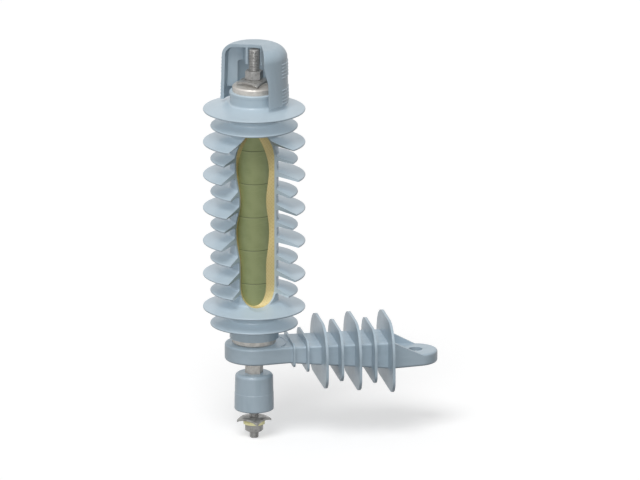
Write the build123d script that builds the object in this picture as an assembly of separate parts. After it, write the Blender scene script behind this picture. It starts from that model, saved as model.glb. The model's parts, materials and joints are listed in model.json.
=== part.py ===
"""Polymer-housed distribution surge arrester with insulating bracket and ground lead disconnector.

The arrester is a sectioned display piece: a wavy window is cut through the housing and the glass-fibre
wrap to show the varistor stack, and a sector is cut out of the protective cap to show the line terminal.
Everything is modelled about the arrester's own axis (Z up, bracket arm along +X, top of the bracket at
z = 0) and is moved at the end, so that the origin is at the mounting hole, on the lug's seating face.
"""
from build123d import *
import os
from math import cos, pi, radians, sin, sqrt, tan

# ---- varistor stack, wrap and end fittings -------------------------------------------------------
disc_count = 6
disc_r = 18.7
disc_h = 37.0
disc_edge = 0.45
contact_plate_h = 2.0
spring_h = 2.6
spring_t = 1.2
spring_r = 13.8
spring_bore_r = 6.5
wrap_t = 4.8
fitting_flange_h = 12.0
fitting_neck_h = 18.6
fitting_face_chamfer = 1.4
fitting_groove = 1.2
fitting_grooves = 3

# ---- housing -------------------------------------------------------------------------------------
housing_wall = 2.8
large_shed_r = 55.0
small_shed_r = 47.0
shed_pitch = 36.65
shed_pairs = 7
small_shed_offset = 18.45
lowest_small_shed_z = 21.8
shed_rim_t = 2.0
shed_rim_round = 0.46
shed_top_slope = 11.0
shed_under_slope = 4.0
shed_root_fillet = 2.6
collar_exposure = 6.4
collar_lip = 0.5
collar_lip_h = 3.4

# ---- window cut through the housing and the wrap -------------------------------------------------
window_low_z = 44.4
window_high_z = 240.6
window_low_arch = 21.0
window_disc_arch = 49.4
window_disc_arch_z = 242.2
window_surface_arch = 39.5
window_surface_arch_z = 248.2
window_arch_power = 1.5
window_least_closing = 0.05
window_wave = 73.0
window_waves = 1.5
window_crest_z = 198.0
window_arch_sections = 5
window_sections = 30
window_inner_arch_gap = 1.2
# middle, reach to the right, its wave, reach to the left, its wave; degrees from the front towards +X
window_disc = (-12.0, 53.5, 8.0, 56.0, 11.0)
window_surface = (-4.0, 61.5, 0.0, 52.6, 8.3)
window_rim = (-4.0, 52.5, 5.0, 42.0, 6.0)
cutter_back = 0.05
wrap_cutter_stretch = 1.6
housing_cutter_stretch = 3.0
cutter_nose_angle = 20.0

# ---- line terminal -------------------------------------------------------------------------------
line_stud_r = 6.0
line_stud_top_gap = 5.0
stud_sunk = 16.0
stud_chamfer = 1.2
nut_af = 17.0
line_nut_h = 9.6
nut_chamfer_angle = 30.0
nut_face_share = 0.97
nut_cone_over = 0.1
clamp_side = 27.6
clamp_t = 2.0
clamp_drop = 4.6
clamp_flat_r = 8.8
clamp_corner_r = 1.8
clamp_hole_gap = 0.4
clamp_cutter_over = 1.0

# ---- protective cap ------------------------------------------------------------------------------
cap_rim_r = 37.0
cap_shoulder_r = 35.4
cap_rim_z = 269.0
cap_crown_z = 331.8
cap_dome = 1.4
cap_shoulder_fillet = 13.0
cap_wall = 3.5
cap_web_t = 2.4
cap_web_y = 23.7
cap_notch_half = 14.2
cap_notch_z = 309.4
cap_notch_fillet = 2.5
cap_rib_gap = 0.4
cap_rib_t = 2.2
grip_half_angle = 45.0
grip_pitch = 3.68
grip_count = 5
grip_h = 0.7
grip_w = 1.5
grip_tip_w = 0.4
grip_sunk = 0.4
grip_low_z = 271.4
grip_high_z = 299.8
cap_cut_back_angle = 156.0
cap_cut_turn = 3.9
cap_cut_top_x = 7.2
cap_cut_low_x = 12.0
cap_cut_bend_z = 318.0
cap_cut_bend_h = 28.0

# ---- bracket -------------------------------------------------------------------------------------
hub_r = 31.6
hub_h = 18.0
hub_bore_gap = 0.5
hub_step_r = 33.6
hub_step_w = 1.2
hub_step_h = 0.7
arm_edge_r = 2.2
arm_root_x = 33.0
hub_lap = 3.0
arm_root_half = 27.0
arm_end_half = 28.6
arm_end_x = 147.0
arm_end_h = 29.4
rib_xs = (38.8, 53.3)
rib_overhangs = (3.6, 7.5)
rib_t = 3.4
rib_rim_share = 0.6
root_sunk = 1.0
bracket_shed_x = 71.1
bracket_shed_pitch = 18.1
bracket_shed_count = 5
bracket_large_overhang = 23.0
bracket_small_overhang = 15.0
bracket_rim_t = 2.8
shed_top_corner = 1.35
shed_low_corner = 0.6
bracket_root_t = 5.2
lug_hole_x = 175.6
lug_hole_r = 7.5
lug_nose_r = 23.6
lug_h = 13.3
lug_rail_t = 3.6
lug_rail_end_x = 178.0
lug_edge_r = 2.6

# ---- disconnector and ground terminal ------------------------------------------------------------
bottom_stud_r = 6.0
bottom_stud_sunk = 14.0
hex_h = 15.6
case_top_r = 20.3
case_mid_r = 20.75
case_low_r = 21.2
case_step = 0.2
case_step_z = -55.0
case_h = 40.3
case_top_fillet = 4.2
case_low_fillet = 1.4
case_wall = 4.6
case_roof = 5.0
neck_r = 7.2
electrode_h = 4.0
resistor_h = 12.0
resistor_bore_r = 6.2
cartridge_r = 4.4
cartridge_edge = 0.6
dish_h = 3.2
dish_t = 1.6
base_h = 9.5
ground_stud_r = 5.0
ground_stud_end_z = -105.9
ground_nut_h = 8.0
ground_washer_r = 11.6
ground_washer_rim = 2.4
ground_washer_cone = 3.6
ground_washer_top_r = 7.4
ground_clamp_z = -82.2

# ---- derived places ------------------------------------------------------------------------------
wrap_r = disc_r + wrap_t
core_r = wrap_r + housing_wall
fitting_h = fitting_flange_h + fitting_neck_h
stack_low_z = fitting_h + contact_plate_h
stack_high_z = stack_low_z + disc_count * disc_h
top_fitting_z = stack_high_z + contact_plate_h
arrester_top_z = top_fitting_z + fitting_h
wrap_low_z = fitting_flange_h
wrap_high_z = arrester_top_z - fitting_flange_h
housing_low_z = collar_exposure
housing_high_z = arrester_top_z - collar_exposure
line_clamp_top_z = arrester_top_z + clamp_drop + clamp_t
line_nut_top_z = line_clamp_top_z + line_nut_h
line_stud_top_z = cap_crown_z - line_stud_top_gap
case_top_z = -hub_h - hex_h
case_low_z = case_top_z - case_h
case_bore_r = case_top_r - case_wall
electrode_top_z = case_top_z - case_roof
resistor_top_z = electrode_top_z - electrode_h
resistor_low_z = resistor_top_z - resistor_h
dish_low_z = resistor_low_z - dish_h
lower_electrode_low_z = case_low_z + base_h
ground_washer_top_z = ground_clamp_z - clamp_t
ground_washer_low_z = ground_washer_top_z - ground_washer_cone - ground_washer_rim
lug_floor_z = lug_h - arm_end_h


def turned(points):
    """Solid of revolution about Z from (radius, height) points."""
    return revolve(make_face(Plane.XZ * Polyline(*points, close=True)), Axis.Z)


def tube(outer_r, inner_r, low_z, high_z):
    """Plain ring about Z."""
    return turned([(inner_r, low_z), (outer_r, low_z), (outer_r, high_z), (inner_r, high_z)])


def rod(radius, low_z, high_z, chamfer_low=0.0, chamfer_high=0.0):
    """Round bar about Z with optional end chamfers."""
    points = [(0, low_z), (radius - chamfer_low, low_z)]
    if chamfer_low:
        points.append((radius, low_z + chamfer_low))
    if chamfer_high:
        points.append((radius, high_z - chamfer_high))
    points += [(radius - chamfer_high, high_z), (0, high_z)]
    return turned(points)


def hexagon(low_z, high_z):
    """Hexagon bar about Z, two of its flats square to Y."""
    outline = RegularPolygon(nut_af / 2, 6, major_radius=False, rotation=0)
    return extrude(Pos(0, 0, low_z) * outline, high_z - low_z)


def hex_nut(low_z, high_z, bore_r):
    """Hexagon nut, both faces chamfered by the usual turning cone."""
    corner_r = nut_af / sqrt(3) + nut_cone_over
    face_r = nut_af / 2 * nut_face_share
    drop = (corner_r - face_r) * tan(radians(nut_chamfer_angle))
    cone = turned([(bore_r, low_z), (face_r, low_z), (corner_r, low_z + drop),
                   (corner_r, high_z - drop), (face_r, high_z), (bore_r, high_z)])
    return hexagon(low_z, high_z) & cone


def saddle_clamp(top_z, bore_r):
    """Square pressed washer whose four corners are bent down."""
    reach_r = clamp_side / sqrt(2) + clamp_cutter_over
    drop = clamp_drop * (reach_r - clamp_flat_r) ** 2 / (clamp_side / sqrt(2) - clamp_flat_r) ** 2
    mid_r = (clamp_flat_r + reach_r) / 2
    section = Polyline((bore_r, top_z - clamp_t), (bore_r, top_z), (clamp_flat_r, top_z))
    section += ThreePointArc((clamp_flat_r, top_z), (mid_r, top_z - drop / 4), (reach_r, top_z - drop))
    section += Line((reach_r, top_z - drop), (reach_r, top_z - drop - clamp_t))
    section += ThreePointArc((reach_r, top_z - drop - clamp_t), (mid_r, top_z - clamp_t - drop / 4),
                             (clamp_flat_r, top_z - clamp_t))
    section += Line((clamp_flat_r, top_z - clamp_t), (bore_r, top_z - clamp_t))
    pressed = revolve(make_face(Plane.XZ * section), Axis.Z)
    square = Rot(0, 0, 45) * RectangleRounded(clamp_side, clamp_side, clamp_corner_r)
    return pressed & extrude(Pos(0, 0, top_z - 20) * square, 30)


# ---- arrester core -------------------------------------------------------------------------------
def varistor_disc(number):
    """One varistor block, counted from the bottom, with its glazed edges chamfered."""
    low_z = stack_low_z + (number - 1) * disc_h
    return rod(disc_r, low_z, low_z + disc_h, disc_edge, disc_edge)


def end_fitting(face_z, direction, stud_r, sunk):
    """Turned fitting: exposed flange, grooved neck inside the wrap and tapped hole."""
    def at(height):
        return face_z + direction * height

    chamfer_r = wrap_r - fitting_face_chamfer
    points = [(stud_r, at(0)), (chamfer_r, at(0)), (wrap_r, at(fitting_face_chamfer)),
              (wrap_r, at(fitting_flange_h)), (disc_r, at(fitting_flange_h))]
    groove_pitch = fitting_neck_h / (fitting_grooves + 1)
    for index in range(1, fitting_grooves + 1):
        middle = fitting_flange_h + index * groove_pitch
        points += [(disc_r, at(middle - fitting_groove)), (disc_r - fitting_groove, at(middle)),
                   (disc_r, at(middle + fitting_groove))]
    points += [(disc_r, at(fitting_h)), (0, at(fitting_h)), (0, at(sunk)), (stud_r, at(sunk))]
    return turned(points)


def top_end_fitting():
    """Upper fitting, with the recess that holds the stack spring."""
    fitting = end_fitting(arrester_top_z, -1, line_stud_r, stud_sunk)
    return fitting - rod(spring_r, top_fitting_z, top_fitting_z + spring_h)


def composite_wrap():
    """Glass-fibre tube round the stack and both necks, keyed into their grooves."""
    points = [(wrap_r, wrap_low_z), (wrap_r, wrap_high_z), (disc_r, wrap_high_z)]
    groove_pitch = fitting_neck_h / (fitting_grooves + 1)
    for index in range(1, fitting_grooves + 1):
        middle = wrap_high_z - index * groove_pitch
        points += [(disc_r, middle + fitting_groove), (disc_r - fitting_groove, middle),
                   (disc_r, middle - fitting_groove)]
    for index in range(fitting_grooves, 0, -1):
        middle = wrap_low_z + index * groove_pitch
        points += [(disc_r, middle + fitting_groove), (disc_r - fitting_groove, middle),
                   (disc_r, middle - fitting_groove)]
    points.append((disc_r, wrap_low_z))
    return turned(points) - window_cutter(True)


def stack_spring():
    """Conical spring washer between the top fitting and the upper contact plate."""
    low_z = top_fitting_z
    return turned([(spring_bore_r, low_z + spring_h - spring_t), (spring_r, low_z),
                   (spring_r, low_z + spring_t), (spring_bore_r, low_z + spring_h)])


# ---- window --------------------------------------------------------------------------------------
def window_swell(z):
    """Swell of the window's wavy edges at one height, from -1 to 1."""
    wavy_z = min(max(z, window_crest_z - window_waves * window_wave), window_crest_z)
    return cos(2 * pi * (wavy_z - window_crest_z) / window_wave)


def window_closing(z, low_z, arch, arch_z):
    """How far the window is open at one height, from nearly 0 at its arched ends to 1 between them."""
    closing = 1.0
    if z < low_z + window_low_arch:
        closing = sqrt(max(0.0, 1 - ((low_z + window_low_arch - z) / window_low_arch) ** 2))
    if z > arch_z - arch:
        closing = 1 - ((z - arch_z + arch) / arch) ** window_arch_power
    return max(closing, window_least_closing)


def polar(radius, angle, z):
    """Point at a radius and an angle from the front (-Y) towards +X."""
    return Vector(radius * sin(radians(angle)), -radius * cos(radians(angle)), z)


def window_pair(radius, edge, swell, closing, z):
    """The window's right and left edge points on one radius at one height."""
    middle, right, right_wave, left, left_wave = edge
    return [polar(radius, middle + closing * (right + right_wave * swell), z),
            polar(radius, middle - closing * (left + left_wave * swell), z)]


def window_section(z, in_wrap):
    """Cross-section of the window at one height, as a closed outline."""
    swell = window_swell(z)
    closing = window_closing(z, window_low_z, window_surface_arch, window_surface_arch_z)
    surface = window_pair(wrap_r, window_surface, swell, closing, z)
    if in_wrap:
        disc_low_z = window_low_z + window_inner_arch_gap
        disc_closing = window_closing(z, disc_low_z, window_disc_arch, window_disc_arch_z)
        inner = window_pair(disc_r, window_disc, swell, disc_closing, z)
        outer, stretch = surface, wrap_cutter_stretch
    else:
        inner = surface
        outer, stretch = window_pair(large_shed_r, window_rim, swell, closing, z), housing_cutter_stretch
    back = [i - (o - i) * cutter_back for i, o in zip(inner, outer)]
    front = [i + (o - i) * stretch for i, o in zip(inner, outer)]
    nose = []
    if in_wrap:
        nose = [polar(large_shed_r, cutter_nose_angle, z), polar(large_shed_r, -cutter_nose_angle, z)]
    return Polyline(back[0], front[0], *nose, front[1], back[1], close=True)


def window_cutter(in_wrap):
    """Solid that cuts the window, lofted upwards through its cross-sections, closest in the low arch."""
    low_z = window_low_z + (window_inner_arch_gap if in_wrap else 0.0)
    straight_low_z = low_z + window_low_arch
    quarter = pi / 2 / window_arch_sections
    steps = range(window_arch_sections)
    heights = [straight_low_z - window_low_arch * cos(quarter * index) for index in steps]
    step = (window_high_z - straight_low_z) / window_sections
    heights += [straight_low_z + step * index for index in range(window_sections + 1)]
    return loft([make_face(window_section(z, in_wrap)) for z in heights], ruled=True)


# ---- housing -------------------------------------------------------------------------------------
def shed_heights():
    """Rim heights and radii of the sheds from the bottom up: small, large, small, large ..."""
    sheds = []
    for pair in range(shed_pairs):
        low_z = lowest_small_shed_z + pair * shed_pitch
        sheds.append((low_z, small_shed_r))
        sheds.append((low_z + small_shed_offset, large_shed_r))
    return sheds


def shed_points(rim_z, rim_r):
    """Profile of one shed from its lower root to its upper root."""
    reach = rim_r - core_r
    under_rise = reach * tan(radians(shed_under_slope))
    top_rise = reach * tan(radians(shed_top_slope))
    return [(core_r, rim_z - shed_rim_t / 2 + under_rise), (rim_r, rim_z - shed_rim_t / 2),
            (rim_r, rim_z + shed_rim_t / 2), (core_r, rim_z + shed_rim_t / 2 + top_rise)]


def housing():
    """Silicone housing with alternating sheds, moulded over the wrap and both fittings."""
    points = [(wrap_r, housing_low_z), (core_r, housing_low_z)]
    for rim_z, rim_r in shed_heights():
        points += shed_points(rim_z, rim_r)
    lip_r = core_r + collar_lip
    points += [(core_r, housing_high_z - collar_lip_h), (lip_r, housing_high_z - collar_lip_h),
               (lip_r, housing_high_z), (wrap_r, housing_high_z)]
    profile = make_face(Polyline(*points, close=True))
    rims = [v for v in profile.vertices() if v.X > small_shed_r - 0.5]
    profile = fillet(rims, shed_rim_t * shed_rim_round)
    roots = [v for v in profile.vertices()
             if abs(v.X - core_r) < 0.01 and housing_low_z + 1 < v.Y < housing_high_z - collar_lip_h - 1]
    profile = fillet(roots, shed_root_fillet)
    profile = fillet([v for v in profile.vertices()
                      if abs(v.X - lip_r) < 0.01 and v.Y > housing_high_z - 0.1], 1.2)
    return revolve(Plane.XZ * profile, Axis.Z) - window_cutter(False)


# ---- line terminal -------------------------------------------------------------------------------
def protective_cap():
    """Moulded cap: shell, cross web with its notch, two crown ribs, grip ribs and the cut sector."""
    corner_z = cap_crown_z - cap_dome
    outer = make_face(Polyline((0, cap_rim_z), (cap_rim_r, cap_rim_z), (cap_shoulder_r, corner_z),
                               (0, cap_crown_z), close=True))
    outer = fillet([v for v in outer.vertices() if abs(v.Y - corner_z) < 0.01], cap_shoulder_fillet)
    inner = make_face(Polyline((0, cap_rim_z), (cap_rim_r - cap_wall, cap_rim_z),
                               (cap_shoulder_r - cap_wall, corner_z - cap_wall),
                               (0, cap_crown_z - cap_wall), close=True))
    inner = fillet([v for v in inner.vertices() if abs(v.Y - corner_z + cap_wall) < 0.01],
                   cap_shoulder_fillet - cap_wall)
    envelope = revolve(Plane.XZ * outer, Axis.Z)
    shell = envelope - revolve(Plane.XZ * inner, Axis.Z)

    web_h = cap_crown_z - housing_high_z
    web = Pos(0, cap_web_y - cap_web_t / 2, housing_high_z + web_h / 2) * Box(2 * cap_rim_r, cap_web_t, web_h)
    notch_h = 2 * (cap_notch_z - housing_high_z)
    notch = Box(2 * cap_notch_half, 3 * cap_web_t, notch_h)
    notch = fillet(notch.edges().filter_by(Axis.Y), cap_notch_fillet)
    web -= Pos(0, cap_web_y, housing_high_z) * notch
    rib_h = cap_crown_z - cap_notch_z
    rib_l = cap_rim_r + cap_web_y
    ribs = Box(cap_rib_t, rib_l, rib_h)
    rib_x = line_stud_r + cap_rib_gap + cap_rib_t / 2
    rib_y = cap_web_y - rib_l / 2 - cap_web_t / 2
    inside = web
    for side in (-1, 1):
        inside += Pos(side * rib_x, rib_y, cap_notch_z + rib_h / 2) * ribs
    cap = shell + (inside & envelope)

    taper = (cap_rim_r - cap_shoulder_r) / (corner_z - cap_rim_z)
    for low_z in (grip_low_z, grip_high_z):
        for index in range(grip_count):
            z = low_z + index * grip_pitch
            wall_r = cap_rim_r - (z - cap_rim_z) * taper
            root_r, tip_r = wall_r - grip_sunk, wall_r + grip_h
            tooth = make_face(Plane.XZ * Polyline((root_r, z - grip_w / 2), (tip_r, z - grip_tip_w / 2),
                                                  (tip_r, z + grip_tip_w / 2), (root_r, z + grip_w / 2),
                                                  close=True))
            arc = revolve(tooth, Axis.Z, 2 * grip_half_angle)
            for side in (0, 180):
                cap += Rot(0, 0, side - grip_half_angle) * arc
    return cap - cap_cutter()


def cap_cutter():
    """Removed sector: from a radial plane at the back to a vertical cut that swings out low down."""
    far = 2 * cap_rim_r
    top = cap_crown_z + 10
    low = cap_rim_z - 10
    bend_low_z = cap_cut_bend_z - cap_cut_bend_h
    edge = Spline((cap_cut_top_x, cap_cut_bend_z), (cap_cut_low_x, bend_low_z),
                  tangents=((0, -1), (0, -1)))
    outline = Polyline((cap_cut_low_x, bend_low_z), (cap_cut_low_x, low), (-far, low), (-far, top),
                       (cap_cut_top_x, top), (cap_cut_top_x, cap_cut_bend_z)) + edge
    block = extrude(make_face(Plane.XZ * outline), far, both=True)
    block = Rot(0, 0, -cap_cut_turn) * block
    back = radians(cap_cut_back_angle)
    ahead = Polyline((0, 0), (2 * far * cos(back), 2 * far * sin(back)), (-2 * far, -2 * far),
                     (2 * far, -2 * far), (-2 * far * cos(back), -2 * far * sin(back)), close=True)
    return block & extrude(Pos(0, 0, low) * make_face(ahead), top - low)


# ---- bracket -------------------------------------------------------------------------------------
def arm_half(x):
    """Half width of the arm at a distance from the arrester's axis."""
    return arm_root_half + (arm_end_half - arm_root_half) * (x - arm_root_x) / (arm_end_x - arm_root_x)


def arm_height(x):
    """Height of the arm at a distance from the arrester's axis."""
    return hub_h + (arm_end_h - hub_h) * (x - arm_root_x) / (arm_end_x - arm_root_x)


def arm_section(x, overhang, at_x):
    """Rounded arm outline at x, grown all round by an overhang, placed square to X at at_x."""
    plane = Plane(origin=(at_x, 0, -arm_height(x) / 2), x_dir=(0, 1, 0), z_dir=(1, 0, 0))
    outline = Rectangle(2 * arm_half(x) + 2 * overhang, arm_height(x) + 2 * overhang).face()
    corners = outline.vertices()
    outline = fillet([v for v in corners if v.Y > 0], arm_edge_r + overhang * shed_top_corner)
    corners = [v for v in outline.vertices() if v.Y < -arm_height(x) / 2 - overhang + 0.01]
    outline = fillet(corners, arm_edge_r + overhang * shed_low_corner)
    return plane * outline


def arm_plate(x, overhang, rim_t, root_t):
    """One rib or shed round the arm, thinner at its rounded rim than at its root."""
    plate = extrude(arm_section(x, overhang, x - rim_t / 2), rim_t)
    for side in (-1, 1):
        near = arm_section(x, overhang, x + side * rim_t / 2)
        far = arm_section(x, -root_sunk, x + side * root_t / 2)
        plate += loft([near, far] if side > 0 else [far, near], ruled=True)
    return plate


def lug():
    """End of the arm: side rails running down to a flat nose with the mounting hole."""
    low_z = -arm_end_h
    back_x = arm_end_x - 1
    nose = Pos(lug_hole_x, 0) * Circle(lug_nose_r)
    plan = make_hull(ShapeList([Line((back_x, -arm_end_half), (back_x, arm_end_half)).edge()]) + nose.edges())
    slab = extrude(Pos(0, 0, low_z) * plan, lug_h)
    rim = [e for e in slab.edges() if e.center().X > arm_end_x
           and min(abs(e.center().Z - low_z), abs(e.center().Z - lug_floor_z)) < 0.01]
    slab = fillet(rim, lug_edge_r)
    rail_low_z = lug_floor_z - lug_edge_r
    rail_reach = lug_edge_r * (lug_rail_end_x - back_x) / -lug_floor_z
    side = Polyline((back_x, rail_low_z), (lug_rail_end_x + rail_reach, rail_low_z), (back_x, 0), close=True)
    rails = extrude(Pos(0, 0, rail_low_z) * plan, arm_end_h)
    rails &= extrude(make_face(Plane.XZ * side), 2 * arm_end_half, both=True)
    rails -= extrude(Pos(0, 0, lug_floor_z) * offset(plan, -lug_rail_t), arm_end_h)
    return slab + rails


def insulating_bracket():
    """Moulded bracket: hub, sheds on a tapered arm, and lug."""
    root_x = arm_root_x + hub_lap
    root = Line((root_x, -arm_root_half), (root_x, arm_root_half))
    hub = extrude(Pos(0, 0, -hub_h) * make_hull(ShapeList([root.edge()]) + Circle(hub_r).edges()), hub_h)
    hub = fillet([e for e in hub.edges() if e.center().X < root_x - 1 and
                  min(abs(e.center().Z), abs(e.center().Z + hub_h)) < 0.01], arm_edge_r)
    arm_x = arm_root_x - hub_lap
    arm = loft([arm_section(arm_x, 0.0, arm_x), arm_section(arm_end_x, 0.0, arm_end_x)], ruled=True)
    body = hub + arm + lug()
    ridge = tube(hub_step_r + hub_step_w, hub_step_r, -1, hub_step_h)
    ridge &= Pos(hub_r, 0, 0) * Box(hub_r, 2 * (arm_root_half - 2 * arm_edge_r), 4 * hub_step_h)
    body += ridge
    for x, overhang in zip(rib_xs, rib_overhangs):
        body += arm_plate(x, overhang, rib_t * rib_rim_share, rib_t)
    for index in range(bracket_shed_count):
        overhang = bracket_small_overhang if index % 2 else bracket_large_overhang
        shed_x = bracket_shed_x + index * bracket_shed_pitch
        body += arm_plate(shed_x, overhang, bracket_rim_t, bracket_root_t)
    body -= Pos(0, 0, -hub_h / 2) * Cylinder(bottom_stud_r + hub_bore_gap, 2 * hub_h)
    body -= Pos(lug_hole_x, 0, lug_floor_z) * Cylinder(lug_hole_r, 4 * lug_h)
    return body


# ---- disconnector --------------------------------------------------------------------------------
def disconnector_body():
    """Moulded case with a rounded shoulder, slightly conical, open below."""
    points = [(neck_r, case_top_z), (case_top_r, case_top_z), (case_mid_r, case_step_z),
              (case_mid_r + case_step, case_step_z), (case_low_r, case_low_z), (case_bore_r, case_low_z),
              (case_bore_r, electrode_top_z), (neck_r, electrode_top_z)]
    profile = make_face(Polyline(*points, close=True))
    profile = fillet([v for v in profile.vertices() if v.X > case_top_r - 0.01 and v.Y > case_top_z - 0.01],
                     case_top_fillet)
    profile = fillet([v for v in profile.vertices() if v.X > case_low_r - 0.01 and v.Y < case_low_z + 0.01],
                     case_low_fillet)
    return revolve(Plane.XZ * profile, Axis.Z)


def disconnector_terminal():
    """Hexagon with the tapped hole for the bottom stud, neck and upper electrode in one turned piece."""
    body = hexagon(case_top_z, -hub_h)
    body += rod(neck_r, electrode_top_z, case_top_z)
    body += rod(case_bore_r, resistor_top_z, electrode_top_z)
    return body - rod(bottom_stud_r, -hub_h - bottom_stud_sunk, -hub_h)


def disconnector_spring():
    """Conical contact washer between the grading ring and the lower electrode."""
    outer_r = case_bore_r - 0.4
    return turned([(resistor_bore_r, dish_low_z), (resistor_bore_r + 0.6, dish_low_z),
                   (outer_r, resistor_low_z - dish_t), (outer_r, resistor_low_z),
                   (outer_r - 0.6, resistor_low_z), (resistor_bore_r, dish_low_z + dish_t)])


def ground_stud():
    """Lower electrode with the M10 stud that the ground lead is clamped to."""
    stud = rod(ground_stud_r, ground_stud_end_z, lower_electrode_low_z, stud_chamfer)
    return stud + rod(case_bore_r, lower_electrode_low_z, dish_low_z)


def ground_washer():
    """Conical washer with a thick rim."""
    bore_r = ground_stud_r + clamp_hole_gap
    return turned([(bore_r, ground_washer_low_z), (ground_washer_r, ground_washer_low_z),
                   (ground_washer_r, ground_washer_low_z + ground_washer_rim),
                   (ground_washer_top_r, ground_washer_top_z), (bore_r, ground_washer_top_z)])


# ---- assembly ------------------------------------------------------------------------------------
nodes = {
    "protective_cap": protective_cap(),
    "line_stud": rod(line_stud_r, arrester_top_z - stud_sunk, line_stud_top_z, 0.0, stud_chamfer),
    "line_nut": hex_nut(line_clamp_top_z, line_nut_top_z, line_stud_r),
    "line_clamp": saddle_clamp(line_clamp_top_z, line_stud_r + clamp_hole_gap),
    "top_end_fitting": top_end_fitting(),
    "stack_spring": stack_spring(),
    "upper_contact_plate": rod(disc_r, stack_high_z, top_fitting_z),
    "lower_contact_plate": rod(disc_r, fitting_h, stack_low_z),
    "bottom_end_fitting": end_fitting(0.0, 1, bottom_stud_r, bottom_stud_sunk),
    "composite_wrap": composite_wrap(),
    "housing": housing(),
    "bottom_stud": rod(bottom_stud_r, -hub_h - bottom_stud_sunk, bottom_stud_sunk),
    "insulating_bracket": insulating_bracket(),
    "disconnector_body": disconnector_body(),
    "disconnector_terminal": disconnector_terminal(),
    "grading_resistor": tube(case_bore_r - 0.4, resistor_bore_r, resistor_low_z, resistor_top_z),
    "disconnector_cartridge": rod(cartridge_r, resistor_low_z, resistor_top_z,
                                  cartridge_edge, cartridge_edge),
    "disconnector_spring": disconnector_spring(),
    "disconnector_base": tube(case_bore_r, ground_stud_r, case_low_z, lower_electrode_low_z),
    "ground_stud": ground_stud(),
    "ground_clamp": saddle_clamp(ground_clamp_z, ground_stud_r + clamp_hole_gap),
    "ground_washer": ground_washer(),
    "ground_nut": hex_nut(ground_washer_low_z - ground_nut_h, ground_washer_low_z, ground_stud_r),
}
for number in range(1, disc_count + 1):
    nodes[f"varistor_disc_{number}"] = varistor_disc(number)

to_mount = Pos(-lug_hole_x, 0, arm_end_h)
os.makedirs("parts", exist_ok=True)
for name, shape in nodes.items():
    export_step(to_mount * shape, f"parts/{name}.step")
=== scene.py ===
"""Looks of a distribution surge arrester that stands on a shedded insulating bracket.

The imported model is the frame, and every size that a piece needs is read from it. A sub-assembly
is a class that makes its own pieces and dresses its nodes, and a finish is a frozen dataclass
that makes one node material. Everything is in metres.
"""

from __future__ import annotations

import json
import logging
import math
from dataclasses import dataclass, field
from enum import Enum
from typing import Any, Sequence

import bpy
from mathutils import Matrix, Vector

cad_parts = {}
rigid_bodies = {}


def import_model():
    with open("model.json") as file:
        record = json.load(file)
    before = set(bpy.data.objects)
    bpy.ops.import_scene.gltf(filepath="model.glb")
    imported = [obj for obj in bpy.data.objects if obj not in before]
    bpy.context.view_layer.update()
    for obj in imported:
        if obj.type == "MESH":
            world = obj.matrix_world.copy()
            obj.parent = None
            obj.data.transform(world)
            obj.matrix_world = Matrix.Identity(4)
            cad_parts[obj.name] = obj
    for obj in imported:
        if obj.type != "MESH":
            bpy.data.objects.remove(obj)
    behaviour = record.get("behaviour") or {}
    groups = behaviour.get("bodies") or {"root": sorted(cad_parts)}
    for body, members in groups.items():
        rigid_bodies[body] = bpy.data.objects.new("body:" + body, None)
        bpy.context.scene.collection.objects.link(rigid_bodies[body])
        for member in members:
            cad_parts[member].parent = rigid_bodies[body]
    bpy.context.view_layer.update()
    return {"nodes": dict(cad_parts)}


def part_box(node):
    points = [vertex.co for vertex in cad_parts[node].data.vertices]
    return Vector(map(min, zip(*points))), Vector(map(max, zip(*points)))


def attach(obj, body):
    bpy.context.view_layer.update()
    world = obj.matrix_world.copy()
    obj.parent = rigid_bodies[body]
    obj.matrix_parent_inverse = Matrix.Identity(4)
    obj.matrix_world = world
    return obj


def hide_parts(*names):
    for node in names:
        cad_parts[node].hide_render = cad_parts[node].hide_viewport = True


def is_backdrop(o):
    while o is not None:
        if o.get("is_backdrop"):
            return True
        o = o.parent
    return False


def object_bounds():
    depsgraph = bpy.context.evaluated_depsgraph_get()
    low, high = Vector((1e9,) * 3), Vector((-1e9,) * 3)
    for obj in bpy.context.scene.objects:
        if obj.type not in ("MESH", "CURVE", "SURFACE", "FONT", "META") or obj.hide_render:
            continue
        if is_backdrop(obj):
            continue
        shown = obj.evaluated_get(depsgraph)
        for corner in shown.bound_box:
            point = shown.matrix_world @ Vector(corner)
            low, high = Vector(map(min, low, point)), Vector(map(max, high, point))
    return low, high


log = logging.getLogger("arrester")
MM = 0.001
WELD = 0.002 * MM
CUTTER_OVER = 0.05 * MM
SMOOTH_ANGLE = math.radians(32)
BODY = "root"

Colour = tuple[float, float, float]
Point = tuple[float, float, float]


def shade(red: int, green: int, blue: int) -> Colour:
    """Turns a colour of 0 to 255 as seen on a screen into the linear values of a shader."""

    def linear(value: int) -> float:
        part = value / 255.0
        return part / 12.92 if part <= 0.04045 else ((part + 0.055) / 1.055) ** 2.4

    return linear(red), linear(green), linear(blue)


class Bearing(Enum):
    """The main direction of the fine lines that a tool or a mould leaves on a part."""

    ROUND = "round the axis"
    ALONG_X = "along X"
    ALONG_Z = "along Z"


# ---- shader nodes ---------------------------------------------------------------------------


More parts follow.
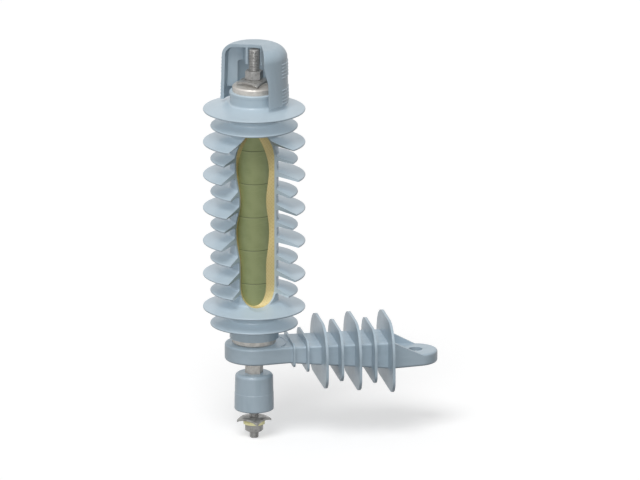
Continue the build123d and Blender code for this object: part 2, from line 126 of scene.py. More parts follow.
@dataclass(frozen=True)
class Term:
    """A shader socket that takes part in sums, so that shader maths reads as plain maths."""

    shader: Shader
    socket: bpy.types.NodeSocket

    def _math(self, operation: str, *values: Any) -> Term:
        """Adds one Math node over the values and returns its result."""
        return self.shader.node("ShaderNodeMath", {"operation": operation}, dict(enumerate(values)))

    def __add__(self, other: Any) -> Term:
        """Adds."""
        return self._math("ADD", self, other)

    def __radd__(self, other: Any) -> Term:
        """Adds, with the number first."""
        return self._math("ADD", other, self)

    def __sub__(self, other: Any) -> Term:
        """Subtracts."""
        return self._math("SUBTRACT", self, other)

    def __rsub__(self, other: Any) -> Term:
        """Subtracts from a number."""
        return self._math("SUBTRACT", other, self)

    def __mul__(self, other: Any) -> Term:
        """Multiplies."""
        return self._math("MULTIPLY", self, other)

    def __rmul__(self, other: Any) -> Term:
        """Multiplies, with the number first."""
        return self._math("MULTIPLY", other, self)

    def __truediv__(self, other: Any) -> Term:
        """Divides."""
        return self._math("DIVIDE", self, other)

    def __pow__(self, other: Any) -> Term:
        """Raises to a power."""
        return self._math("POWER", self, other)

    def __abs__(self) -> Term:
        """Size without the sign."""
        return self._math("ABSOLUTE", self)

    def sine(self) -> Term:
        """Sine of an angle in radians."""
        return self._math("SINE", self)

    def at_least(self, other: Any) -> Term:
        """The larger of the two."""
        return self._math("MAXIMUM", self, other)

    def ramp(self, low: float, high: float, out_low: float = 0.0, out_high: float = 1.0) -> Term:
        """Maps low..high smoothly to out_low..out_high and holds the ends.

        Args:
            low: value at which the result is out_low.
            high: value at which the result is out_high.
            out_low: result at low and beyond it.
            out_high: result at high and beyond it.

        Returns:
            The mapped value.
        """
        ends = {0: self, 1: low, 2: high, 3: out_low, 4: out_high}
        return self.shader.node("ShaderNodeMapRange", {"interpolation_type": "SMOOTHSTEP"}, ends)


class Shader:
    """The node tree of one material, with the few ways in which a finish uses it."""

    def __init__(self, name: str) -> None:
        """Starts an empty node tree.

        Args:
            name: name of the material.
        """
        self.material = bpy.data.materials.new(name)
        self.material.use_nodes = True
        self.tree = self.material.node_tree
        self.tree.nodes.clear()

    def node(
        self,
        kind: str,
        settings: dict[str, Any] | None = None,
        inputs: dict[Any, Any] | None = None,
        output: Any = 0,
    ) -> Term:
        """Adds a node of any type.

        Args:
            kind: the node's type.
            settings: attributes of the node, which are set first.
            inputs: values or terms by socket name or number.
            output: name or number of the socket that is returned.

        Returns:
            The chosen output.
        """
        made = self.tree.nodes.new(kind)
        for key, value in (settings or {}).items():
            setattr(made, key, value)
        for key, value in (inputs or {}).items():
            if isinstance(value, Term):
                self.tree.links.new(value.socket, made.inputs[key])
            elif isinstance(value, tuple) and made.inputs[key].type == "RGBA":
                made.inputs[key].default_value = (*value, 1.0)
            else:
                made.inputs[key].default_value = value
        return Term(self, made.outputs[output])

    def place(self, centre: Point = (0.0, 0.0, 0.0), stretch: Point = (1.0, 1.0, 1.0)) -> Term:
        """Object coordinates, counted from a centre and stretched along the axes.

        Args:
            centre: point that becomes the pattern's origin.
            stretch: factor along each axis; over 1 makes a pattern finer.

        Returns:
            The vector.
        """
        start = tuple(-c * s for c, s in zip(centre, stretch))
        spot = self.node("ShaderNodeTexCoord", output="Object")
        return self.node("ShaderNodeMapping", {}, {0: spot, "Location": start, "Scale": stretch})

    def parts(self, vector: Term) -> tuple[Term, Term, Term]:
        """Splits a vector into its X, Y and Z terms."""
        split = self.node("ShaderNodeSeparateXYZ", {}, {0: vector}).socket.node
        return tuple(Term(self, out) for out in split.outputs)

    def joined(self, x: Any, y: Any, z: Any) -> Term:
        """Joins three values into a vector."""
        return self.node("ShaderNodeCombineXYZ", {}, {0: x, 1: y, 2: z})

    def noise(self, at: Term, size: float, detail: float = 3.0, rough: float = 0.55) -> Term:
        """Cloudy variation from 0 to 1.

        Args:
            at: coordinates.
            size: width of a blotch in metres.
            detail: octaves of finer variation.
            rough: share of each finer octave.

        Returns:
            The value.
        """
        told = {"Vector": at, "Scale": 1.0 / size, "Detail": detail, "Roughness": rough}
        return self.node("ShaderNodeTexNoise", {}, told)

    def cells(self, at: Term, size: float) -> Term:
        """Distance to the nearest of scattered points, in cells of a size in metres."""
        return self.node("ShaderNodeTexVoronoi", {}, {"Vector": at, "Scale": 1.0 / size})

    def blend(self, mask: Any, low: Any, high: Any) -> Term:
        """Mixes two colours by a mask of 0 to 1."""
        kind = {"data_type": "RGBA", "clamp_factor": True}
        return self.node("ShaderNodeMix", kind, {0: mask, 6: low, 7: high}, 2)

    def facing(self, normal: Term, direction: Any) -> Term:
        """Cosine between a normal and a direction."""
        kind = {"operation": "DOT_PRODUCT"}
        return self.node("ShaderNodeVectorMath", kind, {0: normal, 1: direction}, "Value")

    def edges(self, width: float) -> tuple[Term, Term]:
        """Finds the sharp edges of a piece.

        Args:
            width: how far from an edge it is felt, in metres.

        Returns:
            A mask that is 1 on edges, and the normal rounded over them.
        """
        true = self.node("ShaderNodeNewGeometry", output="Normal")
        soft = self.node("ShaderNodeBevel", {"samples": 4}, {"Radius": width})
        mask = self.facing(soft, true).ramp(0.995, 0.9)
        return mask, soft

    def crevices(self, reach: float) -> Term:
        """Mask of 0 on open faces to 1 deep in corners, felt over a reach in metres."""
        lit = self.node("ShaderNodeAmbientOcclusion", {"samples": 4}, {"Distance": reach}, "AO")
        return 1.0 - lit

    def bump(self, height: Term, depth: float, under: Term | None = None) -> Term:
        """Raises the surface where a height is 1.

        Args:
            height: value of about 0 to 1.
            depth: rise in metres.
            under: normal or bump that this one lies on.

        Returns:
            The normal.
        """
        told: dict[Any, Any] = {"Height": height, "Distance": depth, "Strength": 1.0}
        if under is not None:
            told["Normal"] = under
        return self.node("ShaderNodeBump", {}, told)

    def surface(self, varied: dict[str, Any], constants: dict[str, Any]) -> bpy.types.Material:
        """Ends the tree in a Principled shader.

        Args:
            varied: terms for sockets that change over the surface.
            constants: plain values for the shader's other sockets.

        Returns:
            The material.
        """
        shaded = self.node("ShaderNodeBsdfPrincipled", {}, {**constants, **varied})
        self.node_output(shaded)
        return self.material

    def node_output(self, shaded: Term) -> None:
        """Links a shader to the material's output."""
        out = self.tree.nodes.new("ShaderNodeOutputMaterial")
        self.tree.links.new(shaded.socket, out.inputs["Surface"])


# ---- finishes -------------------------------------------------------------------------------


@dataclass(frozen=True)
class SiliconeRubber:
    """Pale blue-grey silicone rubber from a two-part mould, with painted light on what faces up."""

    name: str = "silicone_rubber"
    body: Colour = shade(178, 194, 204)
    # painted light: the lighter colour given to faces that look up, as if lit from above
    painted_top_light: Colour = shade(190, 205, 215)
    cloud: Colour = shade(170, 187, 198)
    # painted shade: the darker colour blended in where crevices hold shade
    crease_shade: Colour = shade(142, 157, 167)
    speck: Colour = shade(146, 160, 169)
    roughness: float = 0.29
    parting_half: float = 0.16 * MM
    parting_rise: float = 0.12 * MM
    grain: float = 0.5 * MM
    grain_rise: float = 0.012 * MM
    cloud_size: float = 34.0 * MM
    speck_cell: float = 3.4 * MM
    speck_patch: float = 9.0 * MM
    # how far the ambient occlusion for the painted shade in crevices reaches
    shade_reach: float = 9.0 * MM

    def material(self, axis: Vector) -> bpy.types.Material:
        """Makes the material.

        Args:
            axis: a point on the axis of the sheds; the mould parts in the plane Y of it.

        Returns:
            The material.
        """
        s = Shader(self.name)
        at = s.place(tuple(axis))
        _, y, _ = s.parts(at)
        clouds = s.noise(at, self.cloud_size, 4.0)
        grain = s.noise(at, self.grain, 2.0, 0.6)
        specks = s.cells(at, self.speck_cell).ramp(0.075, 0.03)
        rare = s.noise(at, self.speck_patch, 1.0).ramp(0.58, 0.64)
        up = s.parts(s.node("ShaderNodeNewGeometry", output="Normal"))[2].ramp(0.2, 1.0)
        # painted shade: an ambient occlusion mask, 1 deep in crevices
        crease_shade_mask = s.crevices(self.shade_reach)
        colour = s.blend(clouds.ramp(0.35, 0.7), self.body, self.cloud)
        # painted light: faces that look up are blended towards a lighter colour, as if lit from
        # above
        colour = s.blend(up * clouds.ramp(0.3, 0.75, 0.35, 0.85), colour, self.painted_top_light)
        # painted shade: the colour is darkened in crevices
        colour = s.blend(crease_shade_mask * 0.35, colour, self.crease_shade)
        colour = s.blend(specks * rare * 0.5, colour, self.speck)
        line = abs(y).ramp(self.parting_half, 0.0)
        normal = s.bump(grain, self.grain_rise)
        normal = s.bump(line, self.parting_rise, normal)
        rough = grain.ramp(0.3, 0.7, self.roughness - 0.03, self.roughness + 0.05) + up * 0.03
        varied = {"Base Color": colour, "Roughness": rough, "Normal": normal}
        return s.surface(varied, {"IOR": 1.43, "Specular IOR Level": 0.5})


@dataclass(frozen=True)
class MouldedPolymer:
    """Pale blue-grey moulded polymer with a fine spark-eroded grain and polished edges."""

    name: str = "moulded_polymer"
    body: Colour = shade(170, 186, 197)
    cloud: Colour = shade(162, 179, 190)
    rubbed: Colour = shade(196, 209, 218)
    # painted shade: the darker colour blended in where crevices hold shade
    crease_shade: Colour = shade(130, 144, 155)
    roughness: float = 0.34
    flow: Bearing = Bearing.ALONG_Z
    edge_width: float = 0.5 * MM
    grain: float = 0.42 * MM
    grain_rise: float = 0.02 * MM
    flow_size: float = 12.0 * MM
    pit_cell: float = 0.9 * MM
    shade_reach: float = 7.0 * MM

    def material(self, centre: Vector) -> bpy.types.Material:
        """Makes the material, with its flow lines counted from a centre.

        Args:
            centre: middle of the piece.

        Returns:
            The material.
        """
        s = Shader(self.name)
        at = s.place(tuple(centre))
        drawn = (0.22, 1.0, 1.0) if self.flow is Bearing.ALONG_X else (1.0, 1.0, 0.22)
        flow = s.noise(s.place(tuple(centre), drawn), self.flow_size, 3.0)
        grain = s.noise(at, self.grain, 2.0, 0.65)
        pits = s.cells(at, self.pit_cell).ramp(0.2, 0.05)
        edge, soft = s.edges(self.edge_width)
        colour = s.blend(flow.ramp(0.38, 0.66), self.body, self.cloud)
        # painted shade: an ambient occlusion mask darkens the colour in crevices
        colour = s.blend(s.crevices(self.shade_reach) * 0.3, colour, self.crease_shade)
        colour = s.blend(edge * flow.ramp(0.3, 0.7, 0.25, 0.6), colour, self.rubbed)
        height = grain * 0.8 - pits * 0.35
        normal = s.bump(height, self.grain_rise, soft)
        rough = grain.ramp(0.3, 0.7, self.roughness - 0.04, self.roughness + 0.06) - edge * 0.08
        varied = {"Base Color": colour, "Roughness": rough, "Normal": normal}
        return s.surface(varied, {"IOR": 1.48, "Specular IOR Level": 0.5})


@dataclass(frozen=True)
class VaristorCeramic:
    """Olive green zinc oxide ceramic under a thin glaze, with a darker band at each end of a disc.
    """

    name: str = "varistor_ceramic"
    body: Colour = shade(141, 149, 105)
    deep: Colour = shade(133, 142, 98)
    pale: Colour = shade(149, 156, 114)
    seam: Colour = shade(74, 80, 52)
    pore: Colour = shade(92, 98, 68)
    end_band: float = 0.45 * MM
    glaze_size: float = 16.0 * MM
    ring_size: float = 11.0 * MM
    fine_size: float = 0.55 * MM
    pore_cell: float = 2.1 * MM
    relief: float = 0.02 * MM

    def material(self, low: Vector, high: Vector) -> bpy.types.Material:
        """Makes the material for one disc.

        Args:
            low: lowest corner of the disc's box.
            high: highest corner of the disc's box.

        Returns:
            The material.
        """
        s = Shader(self.name)
        middle = (low + high) / 2
        at = s.place(tuple(middle))
        z = s.parts(at)[2]
        half = (high.z - low.z) / 2
        glaze = s.noise(at, self.glaze_size, 4.0)
        rings = s.noise(s.place(tuple(middle), (1.0, 1.0, 6.0)), self.ring_size, 2.0)
        fine = s.noise(at, self.fine_size, 3.0, 0.7)
        pores = s.cells(at, self.pore_cell).ramp(0.09, 0.03) * glaze.ramp(0.5, 0.6)
        colour = s.blend(glaze.ramp(0.36, 0.66), self.body, self.deep)
        colour = s.blend(rings.ramp(0.5, 0.8, 0.0, 0.5), colour, self.pale)
        colour = s.blend(fine.ramp(0.52, 0.8, 0.0, 0.22), colour, self.deep)
        colour = s.blend(pores * 0.7, colour, self.pore)
        # a darker, rougher band at each end of the disc, where it meets the next disc
        end_band_mask = abs(z).ramp(half - self.end_band, half - self.end_band * 0.55)
        colour = s.blend(end_band_mask * 0.8, colour, self.seam)
        rough = glaze.ramp(0.3, 0.7, 0.42, 0.52) + end_band_mask * 0.15
        normal = s.bump(fine * 0.6 - pores, self.relief)
        varied = {"Base Color": colour, "Roughness": rough, "Normal": normal}
        return s.surface(varied, {"IOR": 1.55, "Specular IOR Level": 0.4})


@dataclass(frozen=True)
class WoundComposite:
    """Tan glass-fibre and epoxy tube, wound in crossing bands and laid up in thin layers."""

    name: str = "wound_composite"
    resin: Colour = shade(222, 203, 146)
    fibre: Colour = shade(236, 221, 172)
    # colour of the gaps between wound bands, also used as painted shade in crevices
    gap_and_shade: Colour = shade(200, 178, 118)
    layer: float = 0.42 * MM
    band: float = 2.6 * MM
    wind_angle: float = 52.0
    wind_radius: float = 23.0 * MM
    wobble_size: float = 7.0 * MM
    strand_size: float = 0.35 * MM
    shade_reach: float = 4.0 * MM
    relief: float = 0.03 * MM

    def material(self, axis: Vector) -> bpy.types.Material:
        """Makes the material.

        Args:
            axis: a point on the axis of the tube.

        Returns:
            The material.
        """
        s = Shader(self.name)
        at = s.place(tuple(axis))
        x, y, z = s.parts(at)
        radius = (x * x + y * y) ** 0.5
        angle = s.node("ShaderNodeMath", {"operation": "ARCTAN2"}, {0: y, 1: x})
        wobble = s.noise(at, self.wobble_size, 3.0)
        layers = ((radius / self.layer + wobble * 1.6) * math.tau).sine() * 0.5 + 0.5
        round_step = angle * (self.wind_radius * math.sin(math.radians(self.wind_angle)))
        rise = z * math.cos(math.radians(self.wind_angle))
        turns = math.tau / self.band
        over = ((round_step + rise) * turns + wobble * 1.5).sine()
        back = ((round_step - rise) * turns - wobble * 1.5).sine()
        bands = over.at_least(back) * 0.5 + 0.5
        strands = s.noise(s.place(tuple(axis), (1.0, 1.0, 0.12)), self.strand_size, 2.0)
        weave = layers * 0.6 + bands * 0.4
        colour = s.blend(weave.ramp(0.15, 0.85), self.gap_and_shade, self.resin)
        colour = s.blend(strands.ramp(0.5, 0.8, 0.0, 0.6), colour, self.fibre)
        # painted shade: an ambient occlusion mask darkens the colour in crevices
        colour = s.blend(s.crevices(self.shade_reach) * 0.25, colour, self.gap_and_shade)
        normal = s.bump(layers * 0.5 + strands * 0.5, self.relief)
        rough = strands.ramp(0.3, 0.7, 0.46, 0.6)
        varied = {"Base Color": colour, "Roughness": rough, "Normal": normal}
        return s.surface(varied, {"IOR": 1.5, "Specular IOR Level": 0.4})


@dataclass(frozen=True)
class TurnedMetal:
    """Metal with the fine lines of a lathe or a drawing die, rubbed bright on its edges."""

    name: str
    body: Colour
    # dull stain tone, also used as painted shade in crevices
    dull_and_shade: Colour
    bright: Colour
    roughness: float = 0.42
    metallic: float = 0.55
    bearing: Bearing = Bearing.ROUND
    tool_line: float = 0.3 * MM
    line_rise: float = 0.008 * MM
    edge_width: float = 0.35 * MM
    stain_size: float = 5.0 * MM
    nick_cell: float = 1.7 * MM
    shade_reach: float = 3.0 * MM

    def material(self, axis: Vector) -> bpy.types.Material:
        """Makes the material, with its tool lines round an axis.

        Args:
            axis: a point on the axis of the turned part.

        Returns:
            The material.
        """
        s = Shader(self.name)
        at = s.place(tuple(axis))
        x, y, z = s.parts(at)
        if self.bearing is Bearing.ROUND:
            radius = (x * x + y * y) ** 0.5
            lines = s.noise(s.joined(radius, 0.0, z), self.tool_line, 2.0, 0.7)
        else:
            drawn = (0.05, 1.0, 1.0) if self.bearing is Bearing.ALONG_X else (1.0, 1.0, 0.05)
            lines = s.noise(s.place(tuple(axis), drawn), self.tool_line, 2.0, 0.7)
        stain = s.noise(at, self.stain_size, 4.0, 0.6)
        nicks = s.cells(at, self.nick_cell).ramp(0.07, 0.02) * stain.ramp(0.5, 0.6)
        edge, soft = s.edges(self.edge_width)
        colour = s.blend(stain.ramp(0.4, 0.7), self.body, self.dull_and_shade)
        colour = s.blend(lines.ramp(0.45, 0.8, 0.0, 0.35), colour, self.bright)
        # painted shade: an ambient occlusion mask darkens the colour in crevices
        colour = s.blend(s.crevices(self.shade_reach) * 0.5, colour, self.dull_and_shade)
        colour = s.blend(edge * stain.ramp(0.3, 0.7, 0.85, 0.45), colour, self.bright)
        normal = s.bump(lines - nicks * 0.6, self.line_rise, soft)
        rough = stain.ramp(0.3, 0.75, self.roughness - 0.05, self.roughness + 0.12) - edge * 0.08
        varied = {"Base Color": colour, "Roughness": rough, "Normal": normal}
        return s.surface(varied, {"Metallic": self.metallic})


ALLOY = TurnedMetal(
    "fitting_alloy",
    body=shade(206, 202, 196),
    dull_and_shade=shade(186, 181, 174),
    bright=shade(226, 224, 220),
    roughness=0.45,
    metallic=0.35,
)
PLATED_STEEL = TurnedMetal(
    "plated_steel",
    body=shade(162, 161, 159),
    dull_and_shade=shade(130, 129, 127),
    bright=shade(212, 212, 210),
    roughness=0.38,
    metallic=0.45,
    tool_line=0.22 * MM,
)
PRESSED_STEEL = TurnedMetal(
    "pressed_steel",
    body=shade(164, 163, 160),
    dull_and_shade=shade(120, 118, 114),
    bright=shade(214, 214, 212),
    roughness=0.32,
    metallic=0.5,
    bearing=Bearing.ALONG_X,
    tool_line=0.5 * MM,
)
YELLOW_ZINC = TurnedMetal(
    "yellow_zinc",
    body=shade(236, 232, 178),
    dull_and_shade=shade(214, 206, 146),
    bright=shade(248, 246, 214),
    roughness=0.36,
    metallic=0.3,
)


@dataclass(frozen=True)
class GradingCeramic:
    """Dark matt ceramic of the grading resistor, with a carbon speckle."""

    name: str = "grading_ceramic"
    body: Colour = shade(84, 84, 86)
    speck: Colour = shade(128, 128, 126)
    speck_size: float = 0.4 * MM
    relief: float = 0.03 * MM

    def material(self, centre: Vector) -> bpy.types.Material:
        """Makes the material, counted from the piece's centre."""
        s = Shader(self.name)
        at = s.place(tuple(centre))
        fine = s.noise(at, self.speck_size, 3.0, 0.7)
        colour = s.blend(fine.ramp(0.5, 0.75), self.body, self.speck)
        varied = {"Base Color": colour, "Roughness": fine.ramp(0.2, 0.8, 0.7, 0.9)}
        varied["Normal"] = s.bump(fine, self.relief)
        return s.surface(varied, {})


# ---- hand tools -----------------------------------------------------------------------------


def node_box(node: str) -> tuple[Vector, Vector]:
    """Lowest and highest corner of a node."""
    low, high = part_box(node)
    return Vector(low), Vector(high)


def middle_of(node: str) -> Vector:
    """Centre of a node's box."""
    low, high = node_box(node)
    return (low + high) / 2


def paint(node: str, material: bpy.types.Material) -> None:
    """Gives a node of the frame one material all over."""
    slots = FRAME["nodes"][node].material_slots
    for slot in slots:
        slot.link = "OBJECT"
        slot.material = material
    log.info("node %s wears %s", node, material.name)


def leave_all() -> None:
    """Deselects every object, so that an operator acts on the new piece alone."""
    for thing in bpy.context.scene.objects:
        thing.select_set(False)


def apply_all(piece: bpy.types.Object) -> None:
    """Applies the modifiers of a piece in their order."""
    leave_all()
    piece.select_set(True)
    bpy.context.view_layer.objects.active = piece
    for modifier in list(piece.modifiers):
        bpy.ops.object.modifier_apply(modifier=modifier.name)


def drawn_line(name: str, points: Sequence[Point]) -> bpy.types.Object:
    """Draws an open line by extruding one vertex from point to point.

    Args:
        name: name of the piece.
        points: corners of the line.

    Returns:
        The line, with its origin at the world's.
    """
    leave_all()
    bpy.ops.mesh.primitive_plane_add(size=MM)
    piece = bpy.context.active_object
    piece.name = name
    bpy.ops.object.mode_set(mode="EDIT")
    bpy.ops.mesh.select_all(action="SELECT")
    bpy.ops.mesh.merge(type="CENTER")
    bpy.ops.transform.translate(value=points[0])
    for start, end in zip(points, points[1:]):
        step = tuple(e - s for s, e in zip(start, end))
        bpy.ops.mesh.extrude_region_move(TRANSFORM_OT_translate={"value": step})
    bpy.ops.object.mode_set(mode="OBJECT")
    return piece


def turned(name: str, points: Sequence[Point], steps: int = 64) -> bpy.types.Object:
    """Spins a line in the XZ plane round the Z axis into a closed turned blank.

    Args:
        name: name of the piece.
        points: corners of the line; the first and last lie on the axis.
        steps: number of sides.

    Returns:
        The blank, with its normals outwards.
    """
    piece = drawn_line(name, points)
    bpy.ops.object.mode_set(mode="EDIT")
    bpy.ops.mesh.select_all(action="SELECT")
    bpy.ops.mesh.spin(steps=steps, angle=math.tau, center=(0, 0, 0), axis=(0, 0, 1))
    bpy.ops.mesh.select_all(action="SELECT")
    bpy.ops.mesh.remove_doubles(threshold=WELD)
    bpy.ops.mesh.normals_make_consistent(inside=False)
    bpy.ops.object.mode_set(mode="OBJECT")
    return piece


def settle(piece: bpy.types.Object, spot: Vector, material: bpy.types.Material) -> None:
    """Puts a piece in its place, in its mesh, and finishes it.

    Args:
        piece: a piece made round the world's origin.
        spot: where its origin goes.
        material: its finish.
    """
    leave_all()
    piece.select_set(True)
    bpy.context.view_layer.objects.active = piece
    piece.location = spot
    bpy.ops.object.transform_apply(location=True, rotation=True, scale=True)
    bpy.ops.object.shade_smooth_by_angle(angle=SMOOTH_ANGLE)
    piece.data.materials.clear()
    piece.data.materials.append(material)
    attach(piece, BODY)
    log.info("piece %s has %d faces", piece.name, len(piece.data.polygons))


# ---- sub-assemblies -------------------------------------------------------------------------


@dataclass
class ThreadedStud:
    """A stud with a rolled metric thread, which stands for a plain rod of the frame."""

    node: str
    slot: str
    pitch: float
    chamfer: float
    radius: float
    head_node: str | None = None
    chamfer_low: bool = False
    depth_share: float = 0.58
    crest_share: float = 0.14
    root_share: float = 0.2
    steps: int = 40
    head_edge: float = 0.4 * MM

    def sizes(self) -> tuple[Vector, float]:
        """Reads the stud's place.

        Returns:
            The middle of its lower end, and the length of its threaded part.
        """
        low, high = node_box(self.node)
        foot = Vector(((low.x + high.x) / 2, (low.y + high.y) / 2, low.z))
        top = high.z if self.head_node is None else node_box(self.head_node)[1].z
        return foot, top - low.z

    def head(self, length: float) -> bpy.types.Object:
        """Turns the round head that the stud carries inside the case.

        Args:
            length: length of the threaded part, at which the head starts.

        Returns:
            The head.
        """
        low, high = node_box(self.node)
        wide, top = (high.x - low.x) / 2, high.z - low.z
        edge = self.head_edge
        rim = [(wide - edge, 0, length), (wide, 0, length + edge), (wide, 0, top - edge)]
        rim.append((wide - edge, 0, top))
        return turned(f"{self.node}_head", [(0, 0, length), *rim, (0, 0, top)])

    def helix(self, radius: float, length: float) -> bpy.types.Object:
        """Screws one pitch of the thread's profile up past both ends, then cuts the ends flat.

        Args:
            radius: outer radius of the thread.
            length: length of the stud.

        Returns:
            The closed thread, with its lower end at the origin.
        """
        root = radius - self.pitch * self.depth_share
        crest, floor = self.pitch * self.crest_share, self.pitch * self.root_share
        flank = (self.pitch - crest - floor) / 2
        low = -2 * self.pitch
        heights = (low, low + flank, low + flank + crest, low + 2 * flank + crest, low + self.pitch)
        radii = (root, radius, radius, root, root)
        outline = [(r, 0.0, z) for r, z in zip(radii, heights)]
        piece = drawn_line(f"{self.node}_thread", outline)
        screw = piece.modifiers.new("thread", "SCREW")
        screw.angle, screw.screw_offset = math.tau, self.pitch
        screw.iterations = math.ceil(length / self.pitch) + 4
        screw.steps = screw.render_steps = self.steps
        screw.use_merge_vertices, screw.merge_threshold = True, WELD
        apply_all(piece)
        bpy.ops.object.mode_set(mode="EDIT")
        for height, up in ((0.0, -1.0), (length, 1.0)):
            bpy.ops.mesh.select_all(action="SELECT")
            bpy.ops.mesh.remove_doubles(threshold=WELD)
            cut = {"plane_co": (0, 0, height), "plane_no": (0, 0, up)}
            bpy.ops.mesh.bisect(**cut, use_fill=True, clear_outer=True)
        bpy.ops.mesh.select_all(action="SELECT")
        bpy.ops.mesh.normals_make_consistent(inside=False)
        bpy.ops.object.mode_set(mode="OBJECT")
        return piece

    def build(self, material: bpy.types.Material) -> bpy.types.Object:
        """Makes the stud: its thread, trimmed by a blank with chamfered ends.

        Args:
            material: its finish.

        Returns:
            The finished piece.
        """
        foot, length = self.sizes()
        piece = self.helix(self.radius, length)
        narrow, wide = self.radius - self.chamfer, self.radius + CUTTER_OVER
        slope = self.chamfer + CUTTER_OVER
        low_end = [(wide, 0, 0.0)]
        high_end = [(wide, 0, length - slope), (narrow, 0, length)]
        if self.chamfer_low:
            low_end = [(narrow, 0, 0.0), (wide, 0, slope)]
            high_end = [(wide, 0, length)]
        blank = turned("stud_blank", [(0, 0, 0), *low_end, *high_end, (0, 0, length)])
        trim = piece.modifiers.new("chamfer", "BOOLEAN")
        trim.operation, trim.object, trim.solver = "INTERSECT", blank, "EXACT"
        apply_all(piece)
        bpy.data.objects.remove(blank)
        if self.head_node is not None:
            head = self.head(length)
            leave_all()
            head.select_set(True)
            piece.select_set(True)
            bpy.context.view_layer.objects.active = piece
            bpy.ops.object.join()
        settle(piece, foot, material)
        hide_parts(self.node)
        return piece


@dataclass
class LineTerminal:
    """What stands in the protective cap: the threaded stud, its nut and its saddle clamp."""

    stud: ThreadedStud = field(
        default_factory=lambda: ThreadedStud(
            "line_stud", "terminal_steel", pitch=1.75 * MM, chamfer=1.2 * MM, radius=6.0 * MM
        )
    )

    def build(self) -> None:
        """Makes the threaded stud."""
        self.stud.build(PLATED_STEEL.material(middle_of("line_stud")))

    def dress(self) -> None:
        """Finishes the nut, the clamp and the cap."""
        axis = middle_of("line_stud")
        paint("line_nut", PLATED_STEEL.material(axis))
        paint("line_clamp", PRESSED_STEEL.material(axis))
        paint("protective_cap", MouldedPolymer("cap_polymer").material(axis))


@dataclass
class ArresterBody:
    """The shedded housing and what it holds: wrap, discs, contact plates and end fittings."""

    discs: int = 6

    def dress(self) -> None:
        """Finishes every node of the body."""
        axis = middle_of("housing")
        paint("housing", SiliconeRubber().material(axis))
        paint("composite_wrap", WoundComposite().material(axis))
        alloy = ALLOY.material(axis)
        for node in ("top_end_fitting", "bottom_end_fitting"):
            paint(node, alloy)
        for node in ("upper_contact_plate", "lower_contact_plate"):
            paint(node, alloy)
        steel = PLATED_STEEL.material(axis)
        for node in ("stack_spring", "bottom_stud"):
            paint(node, steel)
        for number in range(1, self.discs + 1):
            node = f"varistor_disc_{number}"
            paint(node, VaristorCeramic().material(*node_box(node)))


@dataclass
class InsulatingBracket:
    """The shedded arm that carries the arrester."""

    def dress(self) -> None:
        """Finishes the arm."""
        polymer = MouldedPolymer("bracket_polymer", flow=Bearing.ALONG_X)
        paint("insulating_bracket", polymer.material(middle_of("insulating_bracket")))


@dataclass
class GroundDisconnector:
    """The disconnector under the bracket, with its threaded ground stud and clamp."""

    stud: ThreadedStud = field(
        default_factory=lambda: ThreadedStud(
            "ground_stud",
            "terminal_steel",
            pitch=1.5 * MM,
            chamfer=1.2 * MM,
            radius=5.0 * MM,
            head_node="disconnector_base",
            chamfer_low=True,
        )
    )

    def build(self) -> None:
        """Makes the threaded ground stud."""
        self.stud.build(PLATED_STEEL.material(middle_of("ground_stud")))

    def dress(self) -> None:
        """Finishes the case, its terminal, what it holds and the clamp on its stud."""
        axis = middle_of("disconnector_body")
        paint("disconnector_body", MouldedPolymer("case_polymer").material(axis))
        paint("disconnector_base", MouldedPolymer("base_polymer").material(axis))
        paint("disconnector_terminal", ALLOY.material(axis))
        paint("grading_resistor", GradingCeramic().material(axis))
        paint("disconnector_cartridge", YELLOW_ZINC.material(axis))
        steel = PLATED_STEEL.material(axis)
        for node in ("disconnector_spring", "ground_nut"):
            paint(node, steel)
        paint("ground_clamp", PRESSED_STEEL.material(axis))
        paint("ground_washer", YELLOW_ZINC.material(axis))


# ---- studio ---------------------------------------------------------------------------------


def towards(azimuth: float, elevation: float) -> Vector:
    """Direction from the object to a place round it, in degrees; azimuth 0 is the -Y side."""
    a, e = math.radians(azimuth), math.radians(elevation)
    return Vector((math.sin(a) * math.cos(e), -math.cos(a) * math.cos(e), math.sin(e)))


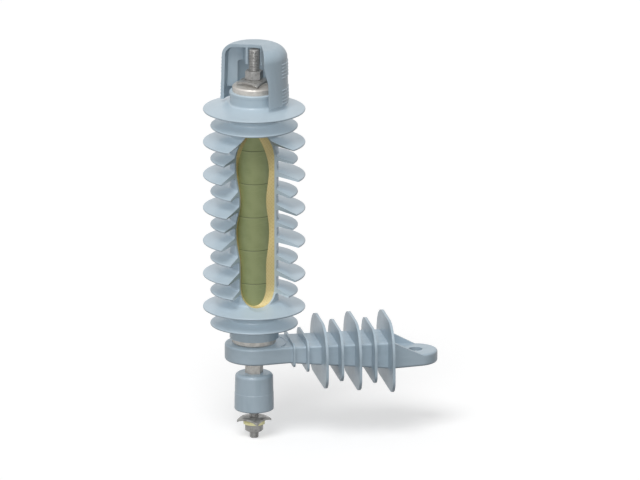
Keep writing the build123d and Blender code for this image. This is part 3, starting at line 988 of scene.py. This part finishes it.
@dataclass
class Studio:
    """A pale floor, soft lamps and the camera."""

    azimuth: float = -10.0
    elevation: float = 16.0
    width: float = 0.686
    aim_right: float = 0.0706
    aim_up: float = 0.1095
    camera_far: float = 2.0
    floor_half: float = 6.0
    floor_seen: Colour = (0.97, 0.97, 0.97)
    floor_bounce: Colour = (0.16, 0.165, 0.17)
    floor_glow: float = 0.13
    sky: float = 0.22
    key_azimuth: float = -27.0
    key_elevation: float = 54.0
    key_softness: float = 28.0
    key_level: float = 0.36
    lift_level: float = 0.48
    fill_azimuth: float = -8.0
    fill_elevation: float = 6.0
    fill_softness: float = 60.0
    fill_level: float = 0.08

    def seen_directly(self, s: Shader) -> Term:
        """Mask that is 1 for what the camera sees, straight on or in a gloss or through glass."""
        path = s.node("ShaderNodeLightPath").socket.node.outputs
        rays = [Term(s, path[name]) for name in ("Is Camera Ray", "Is Glossy Ray")]
        through = Term(s, path["Is Transmission Ray"])
        return rays[0].at_least(rays[1]).at_least(through)

    def floor(self) -> None:
        """Lays the floor under the lowest point of the object."""
        low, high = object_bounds()
        leave_all()
        spot = ((low.x + high.x) / 2, (low.y + high.y) / 2, low.z)
        bpy.ops.mesh.primitive_plane_add(size=2 * self.floor_half, location=spot)
        floor = bpy.context.active_object
        floor.name = "studio_floor"
        s = Shader("studio_floor")
        seen = self.seen_directly(s)
        varied = {"Base Color": s.blend(seen, self.floor_bounce, self.floor_seen)}
        varied["Emission Color"] = s.blend(seen, (0.0, 0.0, 0.0), (1.0, 1.0, 1.0))
        matt = {"Roughness": 0.9, "Specular IOR Level": 0.0}
        s.surface(varied, {**matt, "Emission Strength": self.floor_glow})
        floor.data.materials.append(s.material)
        floor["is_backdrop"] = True

    def world(self) -> None:
        """Makes a white surround that lights the object only softly."""
        world = bpy.data.worlds.new("studio_sky")
        bpy.context.scene.world = world
        world.use_nodes = True
        nodes, links = world.node_tree.nodes, world.node_tree.links
        nodes.clear()
        path = nodes.new("ShaderNodeLightPath")
        seen: bpy.types.NodeSocket = path.outputs["Is Camera Ray"]
        for name in ("Is Glossy Ray", "Is Transmission Ray"):
            either = nodes.new("ShaderNodeMath")
            either.operation = "MAXIMUM"
            links.new(seen, either.inputs[0])
            links.new(path.outputs[name], either.inputs[1])
            seen = either.outputs[0]
        level = nodes.new("ShaderNodeMapRange")
        level.inputs["To Min"].default_value = self.sky
        links.new(seen, level.inputs["Value"])
        back = nodes.new("ShaderNodeBackground")
        links.new(level.outputs[0], back.inputs["Strength"])
        back.inputs["Color"].default_value = (1.0, 1.0, 1.0, 1.0)
        out = nodes.new("ShaderNodeOutputWorld")
        links.new(back.outputs[0], out.inputs["Surface"])

    def lamp(
        self,
        name: str,
        azimuth: float,
        elevation: float,
        softness: float,
        level: float,
        shadow: bool = True,
    ) -> None:
        """Adds a far, broad lamp.

        Args:
            name: name of the lamp.
            azimuth: the side that it shines from, in degrees.
            elevation: how high it stands, in degrees.
            softness: how broad it looks from the object, in degrees.
            level: how bright it makes a white face that looks at it.
            shadow: whether it throws shadows.
        """
        data = bpy.data.lights.new(name, "SUN")
        data.angle = math.radians(softness)
        data.energy = level * math.pi
        data.use_shadow = shadow
        lamp = bpy.data.objects.new(name, data)
        bpy.context.scene.collection.objects.link(lamp)
        way = towards(azimuth, elevation)
        lamp.location = way
        lamp.rotation_euler = (-way).to_track_quat("-Z", "Y").to_euler()

    def camera(self) -> None:
        """Sets up the camera, with the arrester's axis left of the middle."""
        axis = middle_of("housing")
        seat = Vector((axis.x, axis.y, node_box("bottom_end_fitting")[0].z))
        back = towards(self.azimuth, self.elevation)
        right = Vector((-back.y, back.x, 0.0)).normalized()
        up = back.cross(right)
        aim = seat + right * self.aim_right + up * self.aim_up
        data = bpy.data.cameras.new("camera")
        data.type, data.ortho_scale = "ORTHO", self.width
        data.dof.use_dof = False
        camera = bpy.data.objects.new("camera", data)
        bpy.context.scene.collection.objects.link(camera)
        camera.location = aim + back * self.camera_far
        camera.rotation_euler = (-back).to_track_quat("-Z", "Y").to_euler()
        bpy.context.scene.camera = camera

    def build(self) -> None:
        """Sets up the whole studio."""
        self.world()
        self.floor()
        key = (self.key_azimuth, self.key_elevation, self.key_softness)
        self.lamp("key", *key, self.key_level)
        self.lamp("lift", *key, self.lift_level, shadow=False)
        fill = (self.fill_azimuth, self.fill_elevation, self.fill_softness, self.fill_level)
        self.lamp("fill", *fill)
        self.camera()
        bpy.context.scene.view_settings.view_transform = "Standard"


FRAME: dict[str, Any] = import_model()


def main() -> None:
    """Builds and dresses every sub-assembly, then sets up the studio."""
    logging.basicConfig(level=logging.INFO, format="%(message)s")
    terminal, body = LineTerminal(), ArresterBody()
    bracket, disconnector = InsulatingBracket(), GroundDisconnector()
    terminal.build()
    disconnector.build()
    for assembly in (terminal, body, bracket, disconnector):
        assembly.dress()
        log.info("%s is dressed", type(assembly).__name__)
    Studio().build()


if __name__ == "__main__":
    main()
